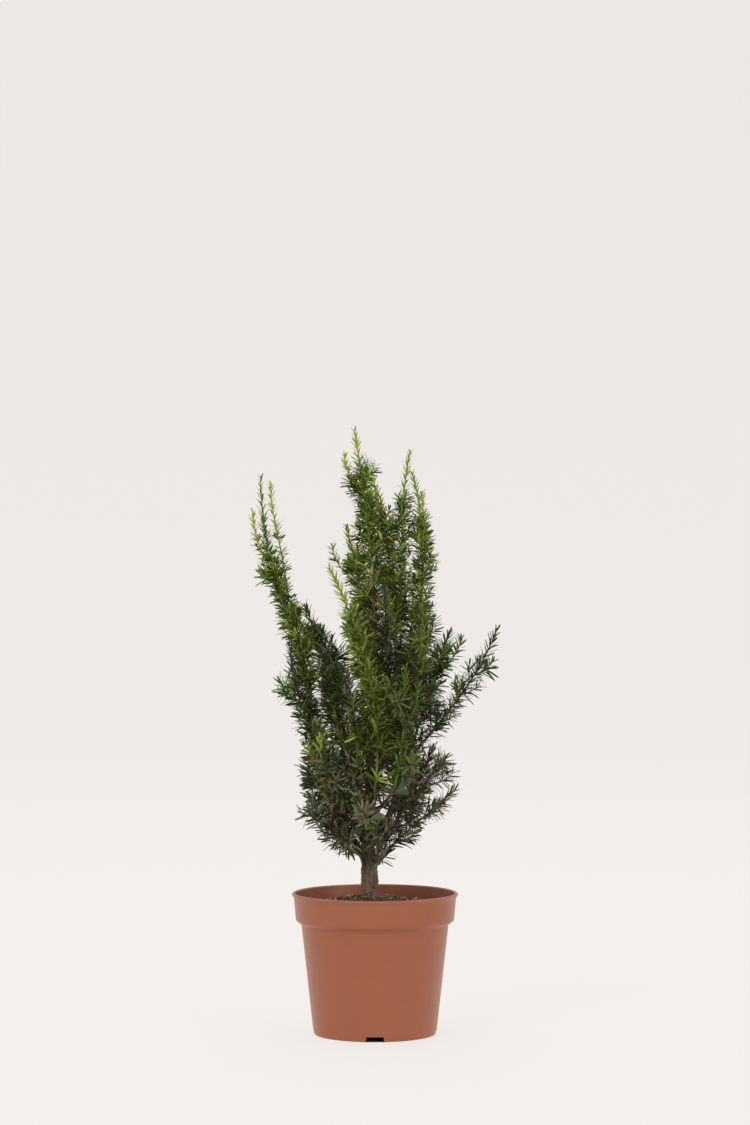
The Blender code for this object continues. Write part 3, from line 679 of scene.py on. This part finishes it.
# %% Stems, fans and twigs
Shoot = namedtuple("Shoot", "limb teeth rank tone")
FINE_STEP = 5 * MM
TWIG_RADIUS, SIDE_RADIUS, TIP_RADIUS = 1.1 * MM, 0.9 * MM, 0.45 * MM
TOOTH_PITCH_SHARE, TOOTH_PITCH_LEAST = 0.71, 10.2  # they set how many rows a stem has in the solids


def shoot_limb(corners, foot_radius):
    steps = max(4, round(length_of(curve(*corners, 8)) / FINE_STEP))
    radii = [lerp(foot_radius, TIP_RADIUS, (i / steps) ** 0.8) for i in range(steps + 1)]
    return Limb(curve(*corners, steps), radii)


def rows_of_stem(mass, corners):
    """How many steps the solid model gives the stem of a mass, which its twigs are counted along."""
    pitch = max(TOOTH_PITCH_SHARE * sum(mass.teeth) / 2, TOOTH_PITCH_LEAST) * MM
    return max(3, round(length_of(curve(*corners, 12)) / pitch))


def side_corners(mass, stem):
    """Control points of the fan and twigs of a mass: the solid model's rule, with its draws in order."""
    chance = random.Random(mass.name)
    rows = frames(stem)
    top = len(rows) - 1
    made = []
    count, spread, side = mass.fan
    for number in range(count):
        side_on = math.radians(side) + number * GOLDEN_TURN + chance.uniform(-0.2, 0.2)
        out = Vector((math.cos(side_on), math.sin(side_on), 0))
        root = rows[round(top * lerp(0.5, 0.62, number / max(count - 1, 1)))].translation
        climb = (stem[-1] - root).length
        end = stem[-1] + out * spread * MM - Vector((0, 0, climb * chance.uniform(0.06, 0.4)))
        made.append((mass.teeth[1], mass.teeth[1], "fan", (
            root, root + out * spread * 0.9 * MM + Vector((0, 0, climb * 0.2)),
            end - Vector((0, 0, climb * 0.3)), end)))
    count, reach, side = mass.twigs
    for number in range(count):
        side_on = math.radians(side) + number * GOLDEN_TURN + chance.uniform(-0.3, 0.3)
        row = rows[max(1, round(top * lerp(0.1, 0.6, number / max(count - 1, 1))))]
        along = row.to_3x3() @ Vector((0, 0, 1))
        out = Vector((math.cos(side_on), math.sin(side_on), 0))
        out = (out - along * out.dot(along)).normalized()
        length = reach * MM * chance.uniform(0.85, 1.12)
        leave = (along + out * 1.1).normalized()
        rise = (along + Vector((0, 0, 0.8)) + out * 0.2).normalized()
        root = row.translation
        made.append((*mass.teeth, "twig", (
            root, root + leave * length * 0.4,
            root + leave * length * 0.6 + rise * length * 0.1,
            root + leave * length * 0.62 + rise * length * 0.4)))
    return made


print("rows in each stem:", [rows_of_stem(mass, corners_of(mass)) for mass in MASSES])

# %% [markdown]
# ## Side shoots
# The plant is carried one step finer than its solids. Each stem, fan shoot, twig and bough bears short
# side shoots, a golden turn apart, so that neighbours point different ways. Leaders are dense with
# them, and the open arms at the right have few. The top of the trunk carries tufts of its own.

# %% Side shoots along a path


def finer(parent, chance, spacing, reach, start, stop):
    """Short side shoots along a path, by the golden turn, shorter towards the path's tip."""
    rows = frames(parent)
    count = int(length_of(parent) * (stop - start) / (spacing * MM))
    turn = chance.uniform(0, math.tau)
    made = []
    for number in range(count):
        turn += GOLDEN_TURN
        share = lerp(start, stop, (number + chance.random()) / max(count, 1))
        spot = share * (len(rows) - 1)
        low = int(spot)
        along = rows[low].to_3x3() @ Vector((0, 0, 1))
        out = rows[low].to_3x3() @ Vector((math.cos(turn), math.sin(turn), 0))
        length = reach * MM * chance.uniform(0.7, 1.15) * lerp(1.0, 0.55, share)
        leave = (along + out * 0.9).normalized()
        rise = (along + Vector((0, 0, 0.7)) + out * 0.5).normalized()
        root = parent[low].lerp(parent[low + 1], spot - low)
        made.append(shoot_limb((
            root, root + leave * length * 0.35,
            root + leave * length * 0.6 + rise * length * 0.1,
            root + leave * length * 0.65 + rise * length * 0.35), SIDE_RADIUS))
    return made


print("golden turn in degrees:", round(math.degrees(GOLDEN_TURN), 1))

# %% [markdown]
# Each shoot is dealt one of four colours. This year's shoots on the leaders are bright, the crown's
# middle is a mix of fresh and dark, and the shaded foot is dark and, on the right, bronze.

# %% The colour of a shoot
LOW_CROWN = 320  # masses whose tips are under this height, in millimetres, are dark
FRESH_TONES = {"leading": (9, 1), "other": (4, 6)}  # odds of bright and fresh
DARK_TONES = {"high": (6, 6, 1), "low left": (1, 7, 4), "low right": (1, 5, 5)}  # fresh, dark, bronze


def tone_of(mass, rank, chance):
    """The colour a shoot is dealt: bright at the fresh leaders' tops, dark and bronze low down."""
    across, _, height = mass.tip
    if mass.shade == "fresh" and rank in ("stem", "fan"):
        return chance.choices(("bright", "fresh"), FRESH_TONES["leading"])[0]
    if mass.shade == "fresh" and height >= LOW_CROWN:
        return chance.choices(("bright", "fresh"), FRESH_TONES["other"])[0]
    place_in_crown = "high" if height >= LOW_CROWN else "low right" if across > 0 else "low left"
    return chance.choices(("fresh", "dark", "bronze"), DARK_TONES[place_in_crown])[0]


print("colours in the low crown, by odds:", DARK_TONES)

# %% Grow every shoot
SIDE_SHOOTS = {  # how far apart they stand on each kind of shoot and how long they are, in millimetres
    "fresh": {"stem": (3.6, 22), "twig": (5, 15), "fan": (9, 9)},
    "dark": {"stem": (5.5, 25), "twig": (6, 16), "fan": (14, 8)},
    "open": {"stem": (12, 22), "twig": (13, 14), "fan": (30, 8)},
}
SHOOT_SPAN = (0.06, 0.72)  # the stretch of a shoot that carries them
SIDE_TEETH = (0.95, 0.9)  # their needles' lengths, over the parent's
BOUGH_SIDES = (9, 28, 0.3, 1.0)  # on a bough: how far apart, how long, and the stretch
TUFTS, TUFT_TEETH = (2.4, 33, 0.0, 0.97), (17, 12)  # and on the top of the trunk


def shoots_of(mass):
    """All the shoots of one mass: its stem, fan and twigs, and the side shoots on them and its bough."""
    chance = random.Random("finer " + mass.name)
    corners = corners_of(mass)
    foot_radius = mass.leaves[2] * BOUGH_TAPER * MM if mass.leaves else trunk.radii[-1]
    stem = shoot_limb(corners, foot_radius)
    made = [Shoot(stem, mass.teeth, "stem", tone_of(mass, "stem", chance))]
    for foot_tooth, tip_tooth, rank, twig in side_corners(mass, curve(*corners, rows_of_stem(mass, corners))):
        limb = shoot_limb(twig, TWIG_RADIUS)
        made.append(Shoot(limb, (foot_tooth, tip_tooth), rank, tone_of(mass, rank, chance)))
    density = "open" if mass.name.endswith("arm") else mass.shade
    for shoot in list(made):
        spacing, reach = SIDE_SHOOTS[density][shoot.rank]
        for limb in finer(shoot.limb.points, chance, spacing, reach, *SHOOT_SPAN):
            teeth = (shoot.teeth[0] * SIDE_TEETH[0], shoot.teeth[1] * SIDE_TEETH[1])
            made.append(Shoot(limb, teeth, "side", tone_of(mass, "side", chance)))
    if mass.leaves:
        for limb in finer(boughs[mass.name].points, chance, *BOUGH_SIDES):
            made.append(Shoot(limb, mass.teeth, "side", tone_of(mass, "side", chance)))
    return made


TUFTS_FROM = 350 * MM  # the trunk itself carries short shoots above this height
TUFTS_BEHIND = -8 * MM  # and none in front of this, so that the bare trunk shows between them


def trunk_tufts(mass):
    chance = random.Random("upper trunk")
    made = []
    for limb in finer([p for p in trunk.points if p.z > TUFTS_FROM], chance, *TUFTS):
        if limb.points[-1].y > TUFTS_BEHIND:
            made.append(Shoot(limb, TUFT_TEETH, "side", tone_of(mass, "side", chance)))
    return made


shoots = [shoot for mass in MASSES for shoot in shoots_of(mass)] + trunk_tufts(MASSES[0])
total_length = sum(length_of(shoot.limb.points) for shoot in shoots)
print("shoots:", len(shoots), "metres of them:", round(total_length, 1))

# %% [markdown]
# ## Needles
# One needle is a narrow blade of a few faces, folded slightly along its midrib and drawn to a short
# point. NumPy turns and places thousands of copies in one step. They end up in one mesh a colour,
# which is far quicker to draw than thousands of objects.

# %% The needle's outline, and copies of it as one mesh
NEEDLE_ROWS = ((0.0, 0.35), (0.3, 1.0), (0.84, 0.78))  # share of length, of half width
NEEDLE_WIDTH, FULL_LENGTH = 2.5 * MM, 17 * MM
NARROWEST = 0.55  # short needles are narrower, down to this share of the width
FOLD = 0.28  # how deep the midrib sits, over the half width
CURL = 0.10  # how far the tip bends, over the length
PIECE_LIMIT = 190000  # triangles in a piece
Needle = namedtuple("Needle", "foot across face along length tone share")  # share is its place on a shoot


def needle_template():
    """The outline of one needle of unit length: its points, their UVs, its quads and its tip's triangles."""
    verts, uvs = [], []
    for share, half in NEEDLE_ROWS:
        for across in (-1, 0, 1):
            verts.append((across * half, -FOLD * half * (across == 0), share))
            uvs.append((0.5 + across * 0.5, share))
    verts.append((0, 0, 1))
    uvs.append((0.5, 1))
    faces = []
    for row in range(len(NEEDLE_ROWS) - 1):
        for half in (0, 1):
            a = row * 3 + half
            faces.append((a, a + 1, a + 4, a + 3))
    tip, last = len(verts) - 1, len(verts) - 4
    caps = [(last, last + 1, tip), (last + 1, last + 2, tip)]
    return np.array(verts), np.array(uvs), np.array(faces), np.array(caps)


def copies(name, places, material, replaced):
    """One mesh of needles, with a row of NumPy arrays for each needle and a column for each point."""
    verts, uvs, quads, caps = needle_template()
    count, size = len(places), len(verts)
    foot, across, face, along = (
        np.array([getattr(needle, way) for needle in places])[:, None, :]
        for way in ("foot", "across", "face", "along")
    )
    length = np.array([needle.length for needle in places])[:, None, None]
    x, y, z = (verts[:, axis][None, :, None] for axis in range(3))
    half = NEEDLE_WIDTH / 2 * lerp(NARROWEST, 1, length / FULL_LENGTH)
    bend = face * (-CURL * length * z * z)
    co = foot + across * x * half + face * y * half + along * z * length + bend
    steps = np.arange(count)[:, None, None] * size
    loops = np.concatenate([(quads[None] + steps).reshape(-1), (caps[None] + steps).reshape(-1)])
    sizes = np.concatenate([np.full(count * len(quads), 4), np.full(count * len(caps), 3)])
    mesh = bpy.data.meshes.new(name)
    mesh.vertices.add(count * size)
    mesh.vertices.foreach_set("co", co.reshape(-1).astype(np.float32))
    mesh.loops.add(len(loops))
    mesh.loops.foreach_set("vertex_index", loops.astype(np.int32))
    mesh.polygons.add(len(sizes))
    starts = np.concatenate([[0], np.cumsum(sizes)[:-1]])
    mesh.polygons.foreach_set("loop_start", starts.astype(np.int32))
    mesh.update(calc_edges=True)
    layer = mesh.uv_layers.new(name="UVMap")
    layer.data.foreach_set("uv", np.tile(uvs, (count, 1))[loops].reshape(-1).astype(np.float32))
    tone = mesh.attributes.new("tone", "FLOAT", "POINT")
    tones = [needle.tone for needle in places]
    tone.data.foreach_set("value", np.repeat(tones, size).astype(np.float32))
    mesh.shade_smooth()
    mesh.validate()
    return place(name, mesh, material, replaced)


_, _, quads, caps = needle_template()
NEEDLE_TRIANGLES = 2 * len(quads) + len(caps)
print("triangles in a needle:", NEEDLE_TRIANGLES)

# %% [markdown]
# ## Needle colours
# Four plain colours are dealt out by shoot: yellow-green, mid green, dark grey-green and bronze. Each
# needle carries a tone, which picks a shade between a deep and a light colour and keeps neighbours from
# matching. The underside of a needle is paler, as a yew's is.

# %% A needle material for each colour


def needle_finish(name, deep, light, under):
    made = bpy.data.materials.new(name)
    made.use_nodes = True
    tree = made.node_tree
    link = tree.links.new
    shader = tree.nodes["Principled BSDF"]
    shader.inputs["Roughness"].default_value = 0.5
    shader.inputs["Specular IOR Level"].default_value = 0.22
    tone = tree.nodes.new("ShaderNodeAttribute")
    tone.attribute_name = "tone"
    upper = tree.nodes.new("ShaderNodeMix")
    upper.data_type = "RGBA"
    upper.inputs["A"].default_value = (*deep, 1)
    upper.inputs["B"].default_value = (*light, 1)
    side = tree.nodes.new("ShaderNodeNewGeometry")
    both = tree.nodes.new("ShaderNodeMix")
    both.data_type = "RGBA"
    both.inputs["B"].default_value = (*under, 1)
    link(tone.outputs["Fac"], upper.inputs["Factor"])
    link(upper.outputs["Result"], both.inputs["A"])
    link(side.outputs["Backfacing"], both.inputs["Factor"])
    link(both.outputs["Result"], shader.inputs["Base Color"])
    return made


TONES = {  # deep, light and underside colours, and the record's slot
    "bright": ((0.17, 0.24, 0.014), (0.47, 0.54, 0.055), (0.38, 0.44, 0.085), "fresh_needles"),
    "fresh": ((0.030, 0.060, 0.005), (0.120, 0.175, 0.014), (0.13, 0.18, 0.030), "fresh_needles"),
    "dark": ((0.023, 0.035, 0.014), (0.082, 0.099, 0.042), (0.14, 0.16, 0.080), "dark_needles"),
    "bronze": ((0.045, 0.034, 0.018), (0.165, 0.125, 0.072), (0.22, 0.18, 0.12), "dark_needles"),
}
NEEDLES = {name: needle_finish(f"needles_{name}", *colours[:3]) for name, colours in TONES.items()}
TWIG_GREEN = finish("green_twig", (0.17, 0.24, 0.04), (0.30, 0.33, 0.08), 200, 0.6, 500, 0.0001)
TWIG_BROWN = finish("brown_twig", (0.052, 0.048, 0.018), (0.125, 0.085, 0.040), 200, 0.7, 500, 0.0002)
print("needle colours:", len(NEEDLES))

# %% [markdown]
# ## Setting needles on the shoots
# On stems and fans the needles stand all round, each one golden turn past the last. On most twigs and
# side shoots they part into two ranks like a comb, left and right by turns. They lean further forward
# near the tip. A needle that would leave the solid model's box is skipped.

# %% Set the needles
NEEDLE_PITCH = 1.15 * MM
YOUNG_FROM = {"stem": 0.12, "fan": 0.1, "twig": 0.45, "side": 0.5}  # where this year's growth starts
NEEDLE_SPAN = (0.03, 0.995)  # the stretch of a shoot that bears needles
NEEDLE_LEAN = math.radians(56)
LEAN_SHARES, LEAN_FROM, LEAN_OVER = (1.08, 0.45), 0.55, 0.45  # it falls over this stretch, to the tip
ROUND_ODDS = 0.35  # how many of the other shoots have needles all round
BUD_FROM, BUD_LENGTH = 0.93, 0.75  # the last needles of a shoot are shorter


def needles_on(shoot, chance):
    points = shoot.limb.points
    rows = frames(points)
    count = max(6, int(length_of(points) / NEEDLE_PITCH))
    all_round = shoot.rank in ("stem", "fan") or chance.random() < ROUND_ODDS
    shoot_tone = chance.uniform(0.1, 0.75)
    turn = chance.uniform(0, math.tau)
    tilt = Vector((chance.uniform(-0.4, 0.4), -0.75, 0.65 + chance.uniform(-0.3, 0.3)))
    made = []
    for number in range(count):
        share = lerp(*NEEDLE_SPAN, (number + chance.random() * 0.6) / count)
        spot = share * (len(rows) - 1)
        low = min(int(spot), len(rows) - 2)
        foot = points[low].lerp(points[low + 1], spot - low)
        along = (points[low + 1] - points[low]).normalized()
        turn += GOLDEN_TURN
        if all_round:
            out = rows[low].to_3x3() @ Vector((math.cos(turn), math.sin(turn), 0))
        else:
            plane = (tilt - along * tilt.dot(along)).normalized()
            side = along.cross(plane) * (1 if number % 2 else -1)
            out = (side + plane * chance.uniform(-0.15, 0.55)).normalized()
        lean = NEEDLE_LEAN * lerp(*LEAN_SHARES, max(0, share - LEAN_FROM) / LEAN_OVER)
        lean *= chance.uniform(0.86, 1.12)
        way = (along * math.cos(lean) + out * math.sin(lean)).normalized()
        length = lerp(*shoot.teeth, share) * MM * chance.uniform(0.82, 1.08)
        if share > BUD_FROM:
            length *= BUD_LENGTH
        end = foot + way * length
        if any(end[i] < cad_low[i] or end[i] > cad_high[i] for i in range(3)):
            continue
        across = along.cross(way).normalized()
        across = (across + way.cross(across) * chance.uniform(-0.5, 0.5)).normalized()
        face = way.cross(across)
        tone = min(max(shoot_tone + chance.uniform(-0.25, 0.25) + 0.2 * (share - 0.5), 0), 1)
        made.append(Needle(foot, across, face, way, length, tone, share))
    return made


chance = random.Random(11)
dealt = {name: [] for name in TONES}
for shoot in shoots:
    for needle in needles_on(shoot, chance):
        older = shoot.tone == "bright" and needle.share < YOUNG_FROM[shoot.rank]
        dealt["fresh" if older else shoot.tone].append(needle)
unclaimed = {"fresh_needles": [], "dark_needles": []}  # the solids that no piece stands for yet
for mass in MASSES:
    unclaimed[f"{mass.shade}_needles"].append(f"{mass.name}_needles")
step = PIECE_LIMIT // NEEDLE_TRIANGLES
for name, places in dealt.items():
    slot = TONES[name][-1]
    for part, start in enumerate(range(0, len(places), step)):
        replaced = unclaimed.pop(slot, [])
        copies(f"needles_{name}_{part + 1}", places[start:start + step], NEEDLES[name], replaced)
print("needles:", {name: len(places) for name, places in dealt.items()})

# %% [markdown]
# ## Twigs
# Every shoot gets a thin woody core under its needles. It is green under bright and fresh needles and
# brown under dark and bronze ones, so the cores go into two meshes.

# %% Sweep the twigs
for colour, material, slot, tones in (
    ("green", TWIG_GREEN, "fresh_needles", ("bright", "fresh")),
    ("brown", TWIG_BROWN, "dark_needles", ("dark", "bronze")),
):
    bm = bmesh.new()
    for shoot in shoots:
        if shoot.tone in tones:
            sweep(bm, shoot.limb, 5)
    twigs = place(f"twigs_{colour}", mesh_of(bm, f"twigs_{colour}", math.radians(80)), material)
    print(twigs.name, "faces:", len(twigs.data.polygons))

# %% [markdown]
# ## Studio
# The photograph was made on a plain pale sweep, so a floor that curves up into a wall stands behind
# the plant. A broad light above and one on each side keep the shadows soft. The sweep glows a little
# in its own colour, so it looks as even as in the photograph. A dull round under the pot doesn't glow,
# which keeps the notches of the foot dark.

# %% Floor, lights and camera
BACKGROUND = (0.835, 0.805, 0.780)
PAPER_LIT = 0.10  # the share of its colour that the sweep shows by the lights
PAPER_GLOW = 0.905  # and the share that it gives itself
SHADE_COLOUR, SHADE_LIFT, SHADE_INSET = (0.3, 0.29, 0.28), 0.02 * MM, 2 * MM
SKY_COLOUR, SKY_STRENGTH = (1, 0.985, 0.97, 1), 0.75
SWEEP_BACK, SWEEP_FRONT, SWEEP_BEND, SWEEP_WIDTH, SWEEP_TOP = 3.0, -6.0, 2.0, 18.0, 8.0
CAMERA_AWAY, CAMERA_HEIGHT = 3.2, 0.482
LENS, FILM_WIDTH = 100, 36  # in millimetres


def plain_paper(name, colour):
    made = bpy.data.materials.new(name)
    made.use_nodes = True
    shader = made.node_tree.nodes["Principled BSDF"]
    shader.inputs["Base Color"].default_value = (*colour, 1)
    return made, shader


def staged(name, mesh, material):
    mesh.materials.append(material)
    linked(name, mesh)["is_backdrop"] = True


def make_sweep(steps=12):
    """A floor that curves up into a wall behind the plant."""
    section = [(SWEEP_FRONT, 0.0), (SWEEP_BACK, 0.0)]
    for index in range(1, steps + 1):
        angle = math.pi / 2 * index / steps
        section.append((SWEEP_BACK + SWEEP_BEND * math.sin(angle), SWEEP_BEND * (1 - math.cos(angle))))
    section.append((SWEEP_BACK + SWEEP_BEND, SWEEP_TOP))
    bm = bmesh.new()
    line = [bm.verts.new((-SWEEP_WIDTH / 2, y, z)) for y, z in section]
    edges = [bm.edges.new(pair) for pair in zip(line, line[1:])]
    made = bmesh.ops.extrude_edge_only(bm, edges=edges)["geom"]
    across = [part for part in made if isinstance(part, bmesh.types.BMVert)]
    bmesh.ops.translate(bm, vec=(SWEEP_WIDTH, 0, 0), verts=across)
    return mesh_of(bm, "sweep")


sweep_material, paper = plain_paper("studio_sweep", [part * PAPER_LIT for part in BACKGROUND])
paper.inputs["Emission Color"].default_value = (*BACKGROUND, 1)
paper.inputs["Emission Strength"].default_value = PAPER_GLOW
paper.inputs["Roughness"].default_value = 0.9
staged("studio_floor", make_sweep(), sweep_material)
bm = bmesh.new()
lifted = Matrix.Translation((0, 0, SHADE_LIFT))
bmesh.ops.create_circle(bm, cap_ends=True, segments=64, radius=FOOT_RADIUS - SHADE_INSET, matrix=lifted)
staged("studio_shade", mesh_of(bm, "studio_shade"), plain_paper("studio_shade", SHADE_COLOUR)[0])

for name, spot, aim, size, power in (  # what it points at, its size in metres, its power in watts
    ("key_light", (-1.6, -2.2, 2.6), (0, 0, 0.3), 1.6, 32),
    ("fill_light", (2.4, -2.0, 1.4), (0, 0, 0.3), 2.0, 18),
    ("top_light", (0.0, 0.6, 3.0), (0, 0, 0.2), 2.5, 26),
):
    light = bpy.data.lights.new(name, "AREA")
    light.size, light.energy = size, power
    holder = linked(name, light)
    holder.location = spot
    holder.rotation_euler = (Vector(aim) - Vector(spot)).to_track_quat("-Z", "Y").to_euler()
world = bpy.data.worlds.new("studio_world")
world.use_nodes = True
sky = world.node_tree.nodes["Background"]
sky.inputs["Color"].default_value = SKY_COLOUR
sky.inputs["Strength"].default_value = SKY_STRENGTH
bpy.context.scene.world = world
bpy.context.scene.view_settings.view_transform = "Standard"

lens = bpy.data.cameras.new("camera")
lens.lens, lens.sensor_width = LENS, FILM_WIDTH
camera = linked("camera", lens)
camera.location = (0, -CAMERA_AWAY, CAMERA_HEIGHT)
camera.rotation_euler = (math.radians(90), 0, 0)
bpy.context.scene.camera = camera
print("camera height in mm:", round(camera.location.z / MM))

# %% [markdown]
# ## Size
# The finished plant is measured the same way as the solids were, and both are printed.

# %% Print the sizes and finish
shown_low, shown_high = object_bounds()
sizes = {
    "solids": [[round(v, 5) for v in cad_low], [round(v, 5) for v in cad_high]],
    "shown": [[round(v, 5) for v in shown_low], [round(v, 5) for v in shown_high]],
}
print(sizes)
